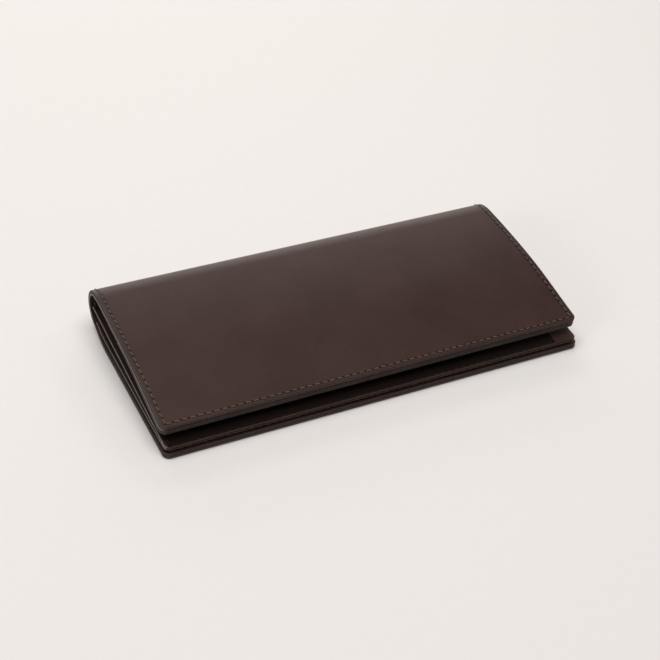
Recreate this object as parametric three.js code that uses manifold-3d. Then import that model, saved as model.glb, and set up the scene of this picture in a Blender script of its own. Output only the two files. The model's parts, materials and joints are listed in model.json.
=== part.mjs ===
// A long leather wallet, closed, lying on its lower cover.
//
// Millimetres, +Z up. X runs along the length, the opening faces -Y and the spine is at +Y.
// The origin is the middle of the bounding box's bottom face.
//
// The leather round the spine is one flexible piece on the real wallet. Here it is a chain of
// narrow strips, each hinged to the next on the outer surface of the leather, so that the
// spine can unroll until both covers lie flat.

import * as THREE from "three";
import { mergeVertices } from "three/addons/utils/BufferGeometryUtils.js";
import Module from "manifold-3d";

const wasm = await Module();
wasm.setup();

// ---------------------------------------------------------------- driving dimensions

const LENGTH = 190;
const CORNER_R = 3;
const CUT_EXTRA = 1; // how far a cutting tool passes what it cuts
const LAYER_GAP = 0.08; // between two sheets that lie on each other
const HALF_FOLD_GAP = 0.15; // half of the gap between two strips that fold

const COVER_T = 1.4; // outer leather
const LINING_T = 0.5;
const POCKET_T = 0.35; // skived leather of the card pockets
const LINING_Z = COVER_T + LAYER_GAP;
const POCKET_Z = LINING_Z + LINING_T + LAYER_GAP;

const FRONT_Y = -46.05;
const FOLD_Y = 28.5; // where the lower cover starts to climb into the spine
const SLOPE = rad(20);
const SPINE_R = 9.3;
const SPINE_Y = 36.75;
const SPINE_Z = 12.9;
const COVER_TILT = rad(4.7); // the closed upper cover leans down to the opening
const ARC_STRIPS = 5;
const UPPER_LENGTH = 79.05; // last fold to the upper cover's front edge

const SLIP_MOUTH = 9; // from the last fold
const CARD_ROWS = 3;
const CARD_MOUTH = 17;
const CARD_STEP = 11;
const CARD_COLUMN_GAP = 0.8;

const LOWER_SLIP_T = 0.42;
const LOWER_SLIP_MOUTH_Y = 20;

const BLOCK_INSET = 0.7; // the pocket block stands back from the cover's edge
const BLOCK_HALF = LENGTH / 2 - BLOCK_INSET;
const BLOCK_FRONT_Y = FRONT_Y + BLOCK_INSET;
const BILL_WALL_T = 0.5;
const BILL_WALL = [
  // underside of the bill compartment's lower wall, in Y and Z
  [BLOCK_FRONT_Y, 3.3],
  [22, 3.6],
  [31, 4.2],
  [38.2, 5.9],
];

const LEAF_Y = -44.5; // front seam of the coin pocket leaf, its hinge line
const LEAF_Z = 4.5;
const LEAF_TILT = rad(4.2);
const LEAF_T = 0.9;
const LEAF_END = 87.2;
const LEAF_CORNER_R = 2.5;

const ZIP_V = 65; // centre of the zip, along the leaf
const ZIP_WINDOW = 10;
const ZIP_HALF_LENGTH = 72;
const TAPE_HALF_LENGTH = 78.5;
const TAPE_T = 0.4;
const TAPE_HALF_WIDTH = 9;
const TAPE_INNER = 1; // zip centre to the tape's inner edge
const TAB_HALF_LENGTH = (BLOCK_HALF - TAPE_HALF_LENGTH) / 2;
const TOOTH = { pitch: 2, length: 1, near: 0.5, far: 2.1, bottom: -1, top: 0.4 };
const STOP = { x: 73.8, length: 1.6, width: 4, bottom: 0, height: 0.6 };

const SLIDER_X = 66; // the slider at rest, at the closed end
const SLIDER = {
  length: 9,
  width: 8.2,
  plate: 0.7,
  flange: 0.8,
  flangeRise: 0.5,
  bottom: -1.9,
  top: 1.3,
};
const BRIDGE = { length: 4, width: 0.6 };
const BAIL = { length: 6, width: 0.9, leg: 0.8, inside: 1.7, bar: 0.7 };
const PIVOT_W = SLIDER.top + BAIL.inside / 2;
const PULL = { length: 15, width: 6.2, t: 0.8, bar: 0.45, windowEnd: 4.3, windowWidth: 2 };

const BAG = { half: 79.5, start: 3, deepAt: 62, end: 75.4, shallow: 0.45, deep: 2.9, t: 0.35 };
const GUSSET = { outer: 93.8, fold: 84.3, t: 0.35, startY: -38, endY: 38, steps: 8 };

// ---------------------------------------------------------------- materials

const leather = material("#463735", 0.42, 0);
const lining = material("#3b2e2c", 0.6, 0);
const tapeCloth = material("#2b2220", 0.85, 0);
const metal = material("#9a8a66", 0.3, 1);

function material(color, roughness, metalness) {
  return new THREE.MeshStandardMaterial({ color, roughness, metalness });
}

// ---------------------------------------------------------------- helpers

function rad(degrees) {
  return (degrees * Math.PI) / 180;
}

function named(name, geometry, look) {
  const mesh = new THREE.Mesh(geometry, look.clone());
  mesh.name = name;
  return mesh;
}

function toSolid(geometry) {
  const bare = geometry.clone();
  bare.deleteAttribute("normal");
  bare.deleteAttribute("uv");
  const merged = mergeVertices(bare);
  return new wasm.Manifold(
    new wasm.Mesh({
      numProp: 3,
      vertProperties: merged.attributes.position.array,
      triVerts: new Uint32Array(merged.index.array),
    }),
  );
}

function toGeometry(solid) {
  const mesh = solid.getMesh();
  const geometry = new THREE.BufferGeometry();
  geometry.setAttribute("position", new THREE.BufferAttribute(mesh.vertProperties, 3));
  geometry.setIndex(new THREE.BufferAttribute(mesh.triVerts, 1));
  geometry.computeVertexNormals();
  return geometry;
}

function join(...geometries) {
  return toGeometry(geometries.map(toSolid).reduce((a, b) => a.add(b)));
}

function cut(body, tool) {
  return toGeometry(toSolid(body).subtract(toSolid(tool)));
}

function box(x0, x1, y0, y1, z0, z1) {
  const geometry = new THREE.BoxGeometry(x1 - x0, y1 - y0, z1 - z0);
  return geometry.translate((x0 + x1) / 2, (y0 + y1) / 2, (z0 + z1) / 2);
}

// A rectangle in plan whose four corner radii run from the low-x low-y corner anticlockwise.
function plan(x0, x1, y0, y1, [r00, r10, r11, r01]) {
  const shape = new THREE.Shape();
  shape.moveTo(x0 + r00, y0);
  shape.lineTo(x1 - r10, y0);
  if (r10) shape.absarc(x1 - r10, y0 + r10, r10, -Math.PI / 2, 0);
  shape.lineTo(x1, y1 - r11);
  if (r11) shape.absarc(x1 - r11, y1 - r11, r11, 0, Math.PI / 2);
  shape.lineTo(x0 + r01, y1);
  if (r01) shape.absarc(x0 + r01, y1 - r01, r01, Math.PI / 2, Math.PI);
  shape.lineTo(x0, y0 + r00);
  if (r00) shape.absarc(x0 + r00, y0 + r00, r00, Math.PI, 1.5 * Math.PI);
  return shape;
}

// A flat sheet of the plan's outline, from z up.
function sheet(outline, z, thickness) {
  const options = { depth: thickness, bevelEnabled: false, curveSegments: 6 };
  return new THREE.ExtrudeGeometry(outline, options).translate(0, 0, z);
}

// A shape drawn in (y, z) and extruded along x, centred on x = 0.
function alongX(shape, length, curveSegments = 6) {
  const options = { depth: length, bevelEnabled: false, curveSegments };
  const turn = new THREE.Matrix4().makeBasis(
    new THREE.Vector3(0, 1, 0),
    new THREE.Vector3(0, 0, 1),
    new THREE.Vector3(1, 0, 0),
  );
  return new THREE.ExtrudeGeometry(shape, options).applyMatrix4(turn).translate(-length / 2, 0, 0);
}

function polygon(points) {
  return new THREE.Shape(points.map(([y, z]) => new THREE.Vector2(y, z)));
}

// ---------------------------------------------------------------- lower half

function makeLowerHalf() {
  const group = new THREE.Group();
  const half = LENGTH / 2;
  const front = [CORNER_R, CORNER_R, 0, 0];
  const mitre = Math.tan(SLOPE / 2);
  const coverEnd = FOLD_Y - HALF_FOLD_GAP - COVER_T * mitre;
  const liningEnd = FOLD_Y - HALF_FOLD_GAP - (LINING_Z + LINING_T) * mitre;
  const cover = plan(-half, half, FRONT_Y, coverEnd, front);
  const inside = plan(-half, half, FRONT_Y, liningEnd, front);
  const slip = plan(-half, half, FRONT_Y, LOWER_SLIP_MOUTH_Y, front);
  group.add(named("lower_cover", sheet(cover, 0, COVER_T), leather));
  group.add(named("lower_lining", sheet(inside, LINING_Z, LINING_T), lining));
  group.add(named("lower_slip_panel", sheet(slip, POCKET_Z, LOWER_SLIP_T), leather));
  group.add(named("bill_compartment_wall", billWall(), leather));
  for (const side of [-1, 1]) {
    group.add(named(`gusset_${sideName(side)}_lower`, gussetFlap(side, "lower"), leather));
  }
  return group;
}

function sideName(side) {
  return side < 0 ? "left" : "right";
}

// The lower wall of the bill compartment, bent up at the spine, with its front corners rounded.
function billWall() {
  const under = BILL_WALL;
  const over = under.map(([y, z]) => [y, z + BILL_WALL_T]).reverse();
  const strip = alongX(polygon([...under, ...over]), 2 * BLOCK_HALF);
  const rounded = [LEAF_CORNER_R, LEAF_CORNER_R, 0, 0];
  const outline = plan(-BLOCK_HALF, BLOCK_HALF, BLOCK_FRONT_Y, SPINE_Y + SPINE_R, rounded);
  const trim = sheet(outline, 0, SPINE_Z);
  return toGeometry(toSolid(strip).intersect(toSolid(trim)));
}

function billWallTop(y) {
  const next = BILL_WALL.findIndex(([at]) => at >= y);
  const [y1, z1] = BILL_WALL[Math.max(next, 1)];
  const [y0, z0] = BILL_WALL[Math.max(next, 1) - 1];
  return z0 + ((y - y0) / (y1 - y0)) * (z1 - z0) + BILL_WALL_T;
}

function leafUnderside(y) {
  return LEAF_Z + (y - LEAF_Y) * Math.tan(LEAF_TILT);
}

// Half of a gusset that folds inwards: a sheet from the pocket's edge to the fold line, which
// lies midway between the bill compartment's wall and the leaf.
function gussetFlap(side, which) {
  const length = GUSSET.endY - GUSSET.startY;
  const strip = plan(0, GUSSET.outer - GUSSET.fold, 0, GUSSET.t, [0, 0, 0, 0]);
  const options = { depth: length, steps: GUSSET.steps, bevelEnabled: false };
  const geometry = new THREE.ExtrudeGeometry(strip, options);
  const place = geometry.attributes.position;
  for (let i = 0; i < place.count; i++) {
    const inward = place.getX(i);
    const y = GUSSET.startY + place.getZ(i);
    const bottom = billWallTop(y) + LAYER_GAP;
    const top = leafUnderside(y) - LAYER_GAP;
    const rise = ((top - bottom) / 2 - GUSSET.t - LAYER_GAP) * (inward / (GUSSET.outer - GUSSET.fold));
    const z = which === "lower" ? bottom + rise + place.getY(i) : top - rise - place.getY(i);
    place.setXYZ(i, side * (GUSSET.outer - inward), y, z);
  }
  if ((side > 0) !== (which === "lower")) flip(geometry);
  return geometry;
}

// Turns every triangle round, after a mapping that mirrors the solid.
function flip(geometry) {
  const place = geometry.attributes.position;
  for (let i = 0; i < place.count; i += 3) {
    const second = new THREE.Vector3().fromBufferAttribute(place, i + 1);
    const third = new THREE.Vector3().fromBufferAttribute(place, i + 2);
    place.setXYZ(i + 1, third.x, third.y, third.z);
    place.setXYZ(i + 2, second.x, second.y, second.z);
  }
  geometry.computeVertexNormals();
}

// ---------------------------------------------------------------- coin pocket leaf

function makeLeaf() {
  const leaf = new THREE.Group();
  leaf.position.set(0, LEAF_Y, LEAF_Z);
  leaf.rotation.x = LEAF_TILT;
  leaf.updateMatrixWorld(true);

  const rounded = [LEAF_CORNER_R, LEAF_CORNER_R, 0, 0];
  const square = [0, 0, 0, 0];
  const windowStart = ZIP_V - ZIP_WINDOW / 2;
  const windowEnd = ZIP_V + ZIP_WINDOW / 2;
  const start = BLOCK_FRONT_Y - LEAF_Y;
  const panel = plan(-BLOCK_HALF, BLOCK_HALF, start, windowStart, rounded);
  const strip = plan(-BLOCK_HALF, BLOCK_HALF, windowEnd, LEAF_END, square);
  leaf.add(named("coin_pocket_panel", sheet(panel, 0, LEAF_T), leather));
  leaf.add(named("coin_pocket_strip", sheet(strip, 0, LEAF_T), leather));
  leaf.add(named("coin_pocket_bag", bag(), lining));
  leaf.add(named("zip_tape_front", zipTape(-1), tapeCloth));
  leaf.add(named("zip_tape_rear", zipTape(1), tapeCloth));
  for (const side of [-1, 1]) {
    leaf.add(named(`zip_end_tab_${sideName(side)}`, endTab(side, windowStart, windowEnd), leather));
    leaf.add(named(`zip_stop_${sideName(side)}`, zipStop(side), metal));
    leaf.attach(named(`gusset_${sideName(side)}_upper`, gussetFlap(side, "upper"), leather));
  }
  leaf.add(makeSlider());
  return leaf;
}

function endTab(side, windowStart, windowEnd) {
  const middle = side * (BLOCK_HALF - TAB_HALF_LENGTH);
  const gap = 2 * HALF_FOLD_GAP;
  return box(
    middle - TAB_HALF_LENGTH,
    middle + TAB_HALF_LENGTH,
    windowStart + gap,
    windowEnd - gap,
    0,
    LEAF_T,
  );
}

function zipStop(side) {
  const x = side * STOP.x;
  return box(
    x - STOP.length / 2,
    x + STOP.length / 2,
    ZIP_V - STOP.width / 2,
    ZIP_V + STOP.width / 2,
    STOP.bottom,
    STOP.bottom + STOP.height,
  );
}

// One tape with its row of teeth; the two rows are offset by half a pitch.
function zipTape(side) {
  const across = (from, to) => [ZIP_V + side * from, ZIP_V + side * to].sort((a, b) => a - b);
  const [v0, v1] = across(TAPE_INNER, TAPE_HALF_WIDTH);
  const [t0, t1] = across(TOOTH.near, TOOTH.far);
  const top = -LAYER_GAP;
  const pieces = [box(-TAPE_HALF_LENGTH, TAPE_HALF_LENGTH, v0, v1, top - TAPE_T, top)];
  const first = -ZIP_HALF_LENGTH + (side > 0 ? TOOTH.pitch / 2 : 0);
  for (let x = first; x + TOOTH.length <= ZIP_HALF_LENGTH; x += TOOTH.pitch) {
    pieces.push(box(x, x + TOOTH.length, t0, t1, TOOTH.bottom, TOOTH.top));
  }
  return join(...pieces);
}

// A shallow bag under the leaf, open to the zip, deepest at the spine side.
function bag() {
  const top = -LAYER_GAP;
  const outer = [
    [BAG.start, top],
    [BAG.start, -BAG.shallow],
    [BAG.deepAt, -BAG.deep],
    [BAG.end, -BAG.deep],
    [BAG.end, top],
  ];
  const inner = [
    [BAG.start + BAG.t, CUT_EXTRA],
    [BAG.start + BAG.t, -BAG.shallow + BAG.t],
    [BAG.deepAt, -BAG.deep + BAG.t],
    [BAG.end - BAG.t, -BAG.deep + BAG.t],
    [BAG.end - BAG.t, CUT_EXTRA],
  ];
  const shell = alongX(polygon(outer), 2 * BAG.half);
  return cut(shell, alongX(polygon(inner), 2 * (BAG.half - BAG.t)));
}

// Slider and pull; the slider's group sits on the zip's centre line.
function makeSlider() {
  const group = new THREE.Group();
  group.position.set(SLIDER_X, ZIP_V, 0);
  group.add(named("zip_slider", sliderBody(), metal));
  const pull = new THREE.Group();
  pull.position.z = PIVOT_W;
  pull.add(named("zip_pull", pullPlate(), metal));
  group.add(pull);
  return group;
}

function sliderBody() {
  const l = SLIDER.length / 2;
  const w = SLIDER.width / 2;
  const upperPlate = SLIDER.top - SLIDER.plate;
  const lowerPlate = SLIDER.bottom + SLIDER.plate;
  const bridge = { l: BRIDGE.length / 2, w: BRIDGE.width / 2 };
  const pieces = [
    box(-l, l, -w, w, upperPlate, SLIDER.top),
    box(-l, l, -w, w, SLIDER.bottom, lowerPlate),
    box(-bridge.l, bridge.l, -bridge.w, bridge.w, SLIDER.bottom, SLIDER.top),
  ];
  for (const [y0, y1] of [
    [-w, -w + SLIDER.flange],
    [w - SLIDER.flange, w],
  ]) {
    pieces.push(box(-l, l, y0, y1, upperPlate - SLIDER.flangeRise, SLIDER.top));
    pieces.push(box(-l, l, y0, y1, SLIDER.bottom, lowerPlate + SLIDER.flangeRise));
  }
  return join(...pieces, bail());
}

// The arch on top of the slider that holds the pull.
function bail() {
  const half = BAIL.length / 2;
  const foot = SLIDER.top - SLIDER.plate / 2;
  const under = SLIDER.top + BAIL.inside;
  const arch = box(-half, half, -BAIL.width / 2, BAIL.width / 2, foot, under + BAIL.bar);
  const inner = half - BAIL.leg;
  return cut(arch, box(-inner, inner, -BAIL.width, BAIL.width, foot - CUT_EXTRA, under));
}

// A flat pull with a window; its short end bar turns inside the bail, on the group's origin.
function pullPlate() {
  const w = PULL.width / 2;
  const outline = plan(-PULL.length, PULL.bar, -w, w, [w, 0, 0, w]);
  const plate = sheet(outline, -PULL.t / 2, PULL.t);
  const half = PULL.windowWidth / 2;
  return cut(plate, box(-PULL.windowEnd, -PULL.bar, -half, half, -PULL.t, PULL.t));
}

// ---------------------------------------------------------------- spine

// Adds the strips as a chain of nested groups, each turned by its fold, and returns the last
// group, whose y axis runs along the closed upper cover and whose z axis points into the wallet.
function addSpine(lowerHalf) {
  const arcAngle = (Math.PI + COVER_TILT - SLOPE) / ARC_STRIPS;
  const slopeEnd = new THREE.Vector2(
    SPINE_Y + SPINE_R * Math.sin(SLOPE),
    SPINE_Z - SPINE_R * Math.cos(SLOPE),
  );
  const slopeLength = slopeEnd.distanceTo(new THREE.Vector2(FOLD_Y, 0));
  const chord = 2 * SPINE_R * Math.sin(arcAngle / 2);

  let fold = hinge(lowerHalf, FOLD_Y, SLOPE);
  addSlopeStrip(fold, slopeLength);
  let reach = slopeLength;
  for (let i = 0; i < ARC_STRIPS; i++) {
    fold = hinge(fold, reach, i === 0 ? arcAngle / 2 : arcAngle);
    const number = i + 2;
    fold.add(named(`spine_leather_${number}`, arcStrip(arcAngle, 0, COVER_T), leather));
    fold.add(named(`spine_lining_${number}`, arcStrip(arcAngle, LINING_Z, LINING_T), lining));
    reach = chord;
  }
  return hinge(fold, reach, arcAngle / 2);
}

function hinge(parent, y, angle) {
  const group = new THREE.Group();
  group.position.y = y;
  group.rotation.x = angle;
  parent.add(group);
  return group;
}

// The straight strip that climbs from the lower cover to the round of the spine.
function addSlopeStrip(fold, length) {
  const mitre = Math.tan(SLOPE / 2);
  const half = LENGTH / 2;
  const end = length - HALF_FOLD_GAP;
  const layers = [
    ["spine_leather_1", 0, COVER_T, leather],
    ["spine_lining_1", LINING_Z, LINING_T, lining],
  ];
  for (const [name, z, thickness, look] of layers) {
    const start = HALF_FOLD_GAP + (z + thickness) * mitre;
    fold.add(named(name, box(-half, half, start, end, z, z + thickness), look));
  }
}

// A round strip between radial cuts: y along its chord, z into the wallet.
function arcStrip(angle, depth, thickness) {
  const middleY = SPINE_R * Math.sin(angle / 2);
  const middleZ = SPINE_R * Math.cos(angle / 2);
  const outer = SPINE_R - depth;
  const inner = outer - thickness;
  const reach = angle / 2 - HALF_FOLD_GAP / SPINE_R;
  const down = -Math.PI / 2;
  const shape = new THREE.Shape();
  shape.absarc(middleY, middleZ, outer, down - reach, down + reach, false);
  shape.absarc(middleY, middleZ, inner, down + reach, down - reach, true);
  return alongX(shape, LENGTH, 3);
}

// ---------------------------------------------------------------- upper half

function fillUpperHalf(group) {
  const half = LENGTH / 2;
  const front = [0, 0, CORNER_R, CORNER_R];
  const cover = plan(-half, half, HALF_FOLD_GAP, UPPER_LENGTH, front);
  const slip = plan(-half, half, SLIP_MOUTH, UPPER_LENGTH, front);
  group.add(named("upper_cover", sheet(cover, 0, COVER_T), leather));
  group.add(named("upper_lining", sheet(cover, LINING_Z, LINING_T), lining));
  group.add(named("upper_slip_panel", sheet(slip, POCKET_Z, POCKET_T), leather));
  for (let row = 1; row <= CARD_ROWS; row++) {
    const mouth = CARD_MOUTH + (row - 1) * CARD_STEP;
    const z = POCKET_Z + row * (POCKET_T + LAYER_GAP);
    const inner = CARD_COLUMN_GAP / 2;
    const left = plan(-half, -inner, mouth, UPPER_LENGTH, [0, 0, 0, CORNER_R]);
    const right = plan(inner, half, mouth, UPPER_LENGTH, [0, 0, CORNER_R, 0]);
    group.add(named(`card_pocket_left_${row}`, sheet(left, z, POCKET_T), leather));
    group.add(named(`card_pocket_right_${row}`, sheet(right, z, POCKET_T), leather));
  }
}

// ---------------------------------------------------------------- assembly

const wallet = new THREE.Group();
const lowerHalf = makeLowerHalf();
wallet.add(lowerHalf);
wallet.add(makeLeaf());
fillUpperHalf(addSpine(lowerHalf));

export default wallet;
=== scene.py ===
"""A long wallet in smooth dark brown leather, closed, on a pale floor.

Every sheet is built flat, in x (along the length), s (along the leather) and depth, then laid
along its path. Lengths are in millimetres until a mesh is made, and in metres after that.
"""

import json
import math

import bpy
import numpy as np
from mathutils import Matrix, Vector

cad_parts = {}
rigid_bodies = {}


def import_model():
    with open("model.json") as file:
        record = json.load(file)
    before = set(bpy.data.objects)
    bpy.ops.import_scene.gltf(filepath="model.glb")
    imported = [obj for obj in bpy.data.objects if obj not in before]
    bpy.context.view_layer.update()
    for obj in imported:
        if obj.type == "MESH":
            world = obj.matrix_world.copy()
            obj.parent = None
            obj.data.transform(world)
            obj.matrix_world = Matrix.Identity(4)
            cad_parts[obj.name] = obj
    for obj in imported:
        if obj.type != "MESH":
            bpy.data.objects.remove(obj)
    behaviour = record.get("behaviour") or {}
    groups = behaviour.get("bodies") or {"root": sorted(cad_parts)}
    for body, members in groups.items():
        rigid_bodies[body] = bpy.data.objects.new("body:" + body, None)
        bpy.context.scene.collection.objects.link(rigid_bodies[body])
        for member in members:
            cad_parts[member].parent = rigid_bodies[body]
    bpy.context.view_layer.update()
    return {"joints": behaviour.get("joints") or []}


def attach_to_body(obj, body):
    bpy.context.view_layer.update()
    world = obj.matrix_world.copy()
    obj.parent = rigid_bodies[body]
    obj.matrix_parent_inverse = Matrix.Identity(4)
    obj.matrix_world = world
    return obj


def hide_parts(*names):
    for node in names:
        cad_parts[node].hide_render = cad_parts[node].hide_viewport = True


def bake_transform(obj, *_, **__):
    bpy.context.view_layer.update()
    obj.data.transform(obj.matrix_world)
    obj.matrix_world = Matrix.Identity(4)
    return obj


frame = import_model()

MM = 0.001

# -------- driving dimensions

HALF = 95.0  # half the wallet's length
CORNER_R = 3.0
GAP = 0.08  # between layers that lie on each other
COVER_T = 1.4
COVER_BEVEL = 0.5
LINING_T = 0.5
LINING_D = COVER_T + GAP
LINING_BEVEL = 0.15
POCKET_T = 0.43
POCKET_D = LINING_D + LINING_T + GAP
POCKET_BEVEL = 0.12

FRONT_Y = -46.05
FOLD_Y = 28.5  # where the lower cover turns up into the spine
FILLET_REACH = 6.0  # the first fold is rounded this far to each side
SLOPE = math.radians(20)
SLOPE_LENGTH = 12.164
SPINE_R = 9.3
SPINE_STRIPS = 5
STRIP_ANGLE = math.radians(32.94)
STRIP_ARC = SPINE_R * STRIP_ANGLE

# The upper cover sags to its front edge. Headings are in degrees, at the end of each run.
UPPER_LENGTH = 79.05
UPPER_START = 181.7
UPPER_RUNS = [(14.0, 183.7), (18.0, 185.9), (20.0, 190.8), (12.0, 191.2)]
UPPER_END = 188.6

LOWER_SLIP_T = 0.42
LOWER_SLIP_LENGTH = 66.05
LOWER_SLIP_BEVEL = 0.14
SLIP_MOUTH = 9.0  # mouths are measured from where the spine ends
CARD_MOUTHS = (17.0, 28.0, 39.0)
COLUMN_HALF_GAP = 0.15

STITCH_INSET = 2.3  # from the sides
END_INSET = 1.8  # from the front edges
STITCH_PITCH = 3.3
STITCH_SLANT = 0.12
STITCH_RINGS = 9
STITCH_SIDES = 8
THREAD_R = 0.18
FINE_THREAD_R = 0.12

BLOCK_HALF = 94.3
BLOCK_X = (-BLOCK_HALF, BLOCK_HALF)
BLOCK_FRONT_Y = -45.35
BLOCK_SEAM_INSET = 2.2
BLOCK_SEAM_LEAF = -0.35  # the front seam's place along the leaf
BLOCK_SEAM_BILL = 1.05  # and along the bill compartment's wall
BILL_WALL_T = 0.5
BILL_WALL_BEVEL = 0.16
BILL_WALL = [
    (BLOCK_FRONT_Y, 3.7), (-36.0, 3.45), (-20.0, 3.4), (8.0, 3.5), (22.0, 3.62), (31.0, 4.2), (38.2, 5.9),
]
LEAF_Y = -44.5  # the leaf's hinge; places along the leaf (v) start here
LEAF_Z = 4.5
LEAF_TILT = math.radians(4.2)
LEAF_T = 0.6
LEAF_BEVEL = 0.3
LEAF_END = 87.2
LEAF_CORNER_R = 2.5
SUEDE_FRAME = (0.7, 1.6, 10.5)  # how wide the frame is at the front, left and right
SUEDE_END = 13.0  # before the zip's middle

ZIP_V = 65.0
ZIP_WINDOW = 10.0
ZIP_SEAM = 1.8  # outside the window
ZIP_SEAM_PAST = 4.0  # past the tapes' ends
LEAF_SEAM_START = 1.5
ZIP_HALF = 72.0
TAB_BEVEL = 0.2
TAB_GAP = 0.1
TAPE_HALF = 78.5
TAPE_T = 0.4
TAPE_BEVEL = 0.15
TAPE_WIDTH = (1.0, 9.0)
TOOTH_PITCH = 2.0
SLIDER_X = 66.0
STOP_X = 73.8
PIVOT_W = 2.15
SHARP_ANGLE = math.radians(40)

BAG_HALF = 79.5
BAG_T = 0.3
GUSSET_OUTER = 93.8
GUSSET_FOLD = 84.3
GUSSET_T = 0.35
GUSSET_Y = (-38.0, 38.0)
GUSSET_ACROSS = [i / 12 for i in range(13)]


# -------- paths


class Path:
    """A curve in the y-z plane. Depth is measured to the left of the way it runs."""

    def __init__(self, s, y, z, heading):
        self.s, self.y, self.z, self.heading = (np.array(v, float) for v in (s, y, z, heading))

    def at(self, s, depth=0.0):
        y = np.interp(s, self.s, self.y)
        z = np.interp(s, self.s, self.z)
        a = np.interp(s, self.s, self.heading)
        return y - np.sin(a) * depth, z + np.cos(a) * depth

    def lay(self, points):
        """(x, s, depth) rows to (x, y, z) in metres."""
        y, z = self.at(points[..., 1], points[..., 2])
        return np.stack([points[..., 0], y, z], -1) * MM

    def point(self, s, depth=0.0):
        y, z = self.at(s, depth)
        return (0.0, float(y) * MM, float(z) * MM)

    @property
    def length(self):
        return float(self.s[-1])


def turning_path(start, runs, step=0.1):
    """runs are (length, heading at its end); the heading changes evenly along each run."""
    s, y, z, heading = [0.0], [start[0]], [start[1]], [0.0]
    for length, target in runs:
        count = max(1, math.ceil(length / step))
        first = heading[-1]
        for i in range(count):
            nearby = first + (target - first) * (i + 0.5) / count
            s.append(s[-1] + length / count)
            y.append(y[-1] + length / count * math.cos(nearby))
            z.append(z[-1] + length / count * math.sin(nearby))
            heading.append(first + (target - first) * (i + 1) / count)
    return Path(s, y, z, heading)


def straight_path(start, heading, length):
    end = (start[0] + length * math.cos(heading), start[1] + length * math.sin(heading))
    return Path([0, length], [start[0], end[0]], [start[1], end[1]], [heading, heading])


def rounded_path(points, step=0.5):
    """A smooth curve through the points."""
    p = np.array(points, float)
    slope = np.gradient(p[:, 1], p[:, 0])
    y = np.arange(p[0, 0], p[-1, 0] + step, step).clip(max=p[-1, 0])
    k = np.clip(np.searchsorted(p[:, 0], y) - 1, 0, len(p) - 2)
    run = p[k + 1, 0] - p[k, 0]
    t = (y - p[k, 0]) / run
    z = (2 * t**3 - 3 * t**2 + 1) * p[k, 1] + (t**3 - 2 * t**2 + t) * run * slope[k]
    z += (3 * t**2 - 2 * t**3) * p[k + 1, 1] + (t**3 - t**2) * run * slope[k + 1]
    s = np.concatenate([[0], np.cumsum(np.hypot(np.diff(y), np.diff(z)))])
    return Path(s, y, z, np.arctan(np.gradient(z, y)))


def wallet_path():
    """The leather's outer face, from the lower cover's front edge round to the upper cover's."""
    runs = [(FOLD_1_S - FILLET_REACH, 0.0), (FILLET_ARC, SLOPE), (SLOPE_LENGTH - FILLET_REACH, SLOPE)]
    runs += [(STRIP_ARC * (SPINE_STRIPS - 0.5), SLOPE + STRIP_ANGLE * (SPINE_STRIPS - 0.5))]
    runs += [(STRIP_ARC, math.radians(UPPER_START))]
    runs += [(length, math.radians(heading)) for length, heading in UPPER_RUNS]
    rest = UPPER_LENGTH - STRIP_ARC / 2 - sum(length for length, _ in UPPER_RUNS)
    return turning_path((FRONT_Y, 0.0), runs + [(rest, math.radians(UPPER_END))])


FOLD_1_S = FOLD_Y - FRONT_Y
FILLET_ARC = 2 * FILLET_REACH * (SLOPE / 2) / math.tan(SLOPE / 2)
ARC_S = FOLD_1_S - FILLET_REACH + FILLET_ARC + (SLOPE_LENGTH - FILLET_REACH)
UPPER_S = ARC_S + STRIP_ARC * SPINE_STRIPS
WALLET = wallet_path()
CUTS = [FOLD_1_S - FILLET_REACH, FOLD_1_S + FILLET_REACH]
CUTS += [ARC_S + STRIP_ARC * (i + 0.5) for i in range(SPINE_STRIPS)]
CUTS += [UPPER_S + STRIP_ARC / 2]
LEAF = straight_path((LEAF_Y, LEAF_Z), LEAF_TILT, LEAF_END)
BILL = rounded_path(BILL_WALL)


# -------- meshes


def make_mesh(name, verts, faces, uvs, materials, face_material=None, normals=None):
    mesh = bpy.data.meshes.new(name)
    mesh.from_pydata([tuple(v) for v in verts], [], faces)
    for m in materials:
        mesh.materials.append(m)
    layer = mesh.uv_layers.new(name="flat")
    corner = np.zeros(len(mesh.loops), np.int32)
    mesh.loops.foreach_get("vertex_index", corner)
    layer.data.foreach_set("uv", np.array(uvs, np.float32)[corner].ravel())
    mesh.polygons.foreach_set("use_smooth", [True] * len(mesh.polygons))
    if face_material is not None:
        mesh.polygons.foreach_set("material_index", face_material)
    if normals is not None:
        mesh.normals_split_custom_set_from_vertices([tuple(n) for n in normals])
    mesh.update()
    obj = bpy.data.objects.new(name, mesh)
    bpy.context.scene.collection.objects.link(obj)
    return obj


def ring_quads(rings, count, base=0, turned=False, wrap=False):
    """Quads between rings of count vertices each.

    turned makes them face the other way; wrap joins the last ring to the first.
    """
    quads = []
    for i in range(rings if wrap else rings - 1):
        here, there = base + i * count, base + (i + 1) % rings * count
        for k in range(count):
            m = (k + 1) % count
            quad = (here + k, there + k, there + m, here + m)
            quads.append((quad[0], *quad[:0:-1]) if turned else quad)
    return quads


def corner_inset(radius, reach):
    """How far a rounded plan corner draws the side in, at this distance from the end."""
    inside = np.clip(radius - reach, 0, radius)
    return radius - np.sqrt(np.maximum(radius**2 - inside**2, 0))


def spread(start, end, step, fine=()):
    """Places from start to end about a step apart, with the fine ones added."""
    count = max(2, math.ceil((end - start) / step) + 1)
    regular = np.linspace(start, end, count)
    places = np.unique(np.round(np.concatenate([regular, np.array(fine, float)]), 4))
    return places[(places >= start - 1e-6) & (places <= end + 1e-6)]


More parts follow.
